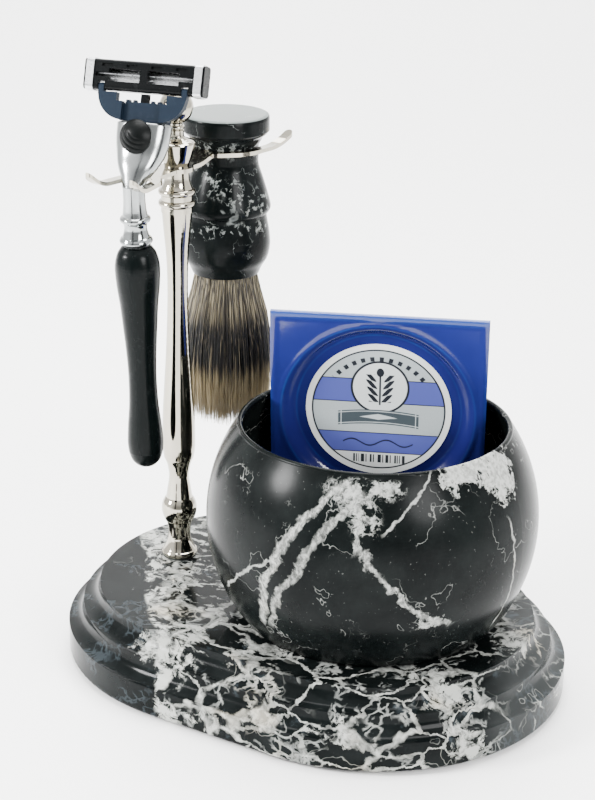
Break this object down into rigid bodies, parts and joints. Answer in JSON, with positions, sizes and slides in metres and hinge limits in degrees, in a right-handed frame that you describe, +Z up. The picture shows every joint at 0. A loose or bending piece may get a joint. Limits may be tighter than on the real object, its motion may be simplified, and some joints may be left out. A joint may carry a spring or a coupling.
{
  "type": "shaving stand set",
  "caption": "Stone shaving stand with an oval moulded base, turned metal post and forked hanger, holding a razor, a brush and a round bowl with a soap pack in it.",
  "frame": {"origin": "centre of the oval underside of the base, on the table", "axes": "+X from the post to the bowl, +Y from the razor to the brush, +Z up"},
  "size_m": [0.171, 0.127, 0.1967],
  "materials": {
    "stone_base": "gloss",
    "stone_bowl": "gloss",
    "stone_brush": "gloss",
    "felt": "matt",
    "nickel": "polished",
    "chrome": "polished",
    "steel": "plain",
    "soap_plastic": "translucent",
    "soap": "smooth",
    "label": "printed",
    "black_gloss": "lacquered",
    "black_plastic": "moulded",
    "slate_plastic": "moulded",
    "fin_rubber": "soft",
    "glide": "waxy",
    "hair": "hair",
    "resin": "set glue"
  },
  "bodies": {
    "stand": {"base_slab": "stone_base", "base_pad": "felt", "post_felt": "felt", "post_foot": "nickel", "post_column": "nickel", "ring_collar": "nickel", "hanger_bracket": "nickel", "urn": "nickel", "finial_neck": "nickel", "finial_ball": "nickel", "tie_rod": "steel", "rod_washer": "steel", "rod_nut": "steel"},
    "bowl_body": {"bowl": "stone_bowl", "bowl_felt": "felt"},
    "soap_pack": {"soap_tray": "soap_plastic", "soap_back": "soap_plastic", "soap_puck": "soap", "soap_label": "label"},
    "razor": {"razor_handle": "black_gloss", "razor_ferrule": "chrome", "razor_neck": "chrome", "razor_cup": "chrome", "razor_stud": "steel", "button_spring": "steel"},
    "release": {"release_button": "black_plastic", "release_plunger": "slate_plastic"},
    "head": {"yoke": "slate_plastic", "pivot_tongue": "black_plastic"},
    "cartridge": {"blade_housing": "black_plastic", "blades": "steel", "end_clips": "steel", "guard_strip": "fin_rubber", "glide_strip": "glide"},
    "brush": {"brush_handle": "stone_brush", "knot_plug": "resin", "hair_knot": "hair"}
  },
  "joints": [
    {"name": "bowl_lift", "type": "slide", "parent": "stand", "child": "bowl_body", "axis": [0, 0, 1], "range_m": [0, 0.05]},
    {"name": "soap_lift", "type": "slide", "parent": "bowl_body", "child": "soap_pack", "axis": [0.0496, -0.1094, 0.9928], "range_m": [0, 0.06]},
    {"name": "razor_draw", "type": "slide", "parent": "stand", "child": "razor", "axis": [0, -0.9703, 0.2419], "range_m": [0, 0.045]},
    {"name": "brush_draw", "type": "slide", "parent": "stand", "child": "brush", "axis": [0, 0.9781, 0.2079], "range_m": [0, 0.045]},
    {"name": "cartridge_eject", "type": "slide", "parent": "razor", "child": "head", "axis": [-0.0776, 0.3022, 0.9501], "range_m": [0, 0.012]},
    {"name": "cartridge_pivot", "type": "hinge", "parent": "head", "child": "cartridge", "pos_m": [-0.05641, -0.01398, 0.18818], "axis": [0.9763, 0.2162, 0.011], "range_deg": [0, 40], "stiffness_Nm_per_rad": 0.004},
    {"name": "release_push", "type": "slide", "parent": "razor", "child": "release", "axis": [-0.0776, 0.3022, 0.9501], "range_m": [0, 0.0022], "stiffness_N_per_m": 120, "deforming": ["button_spring"]}
  ]
}
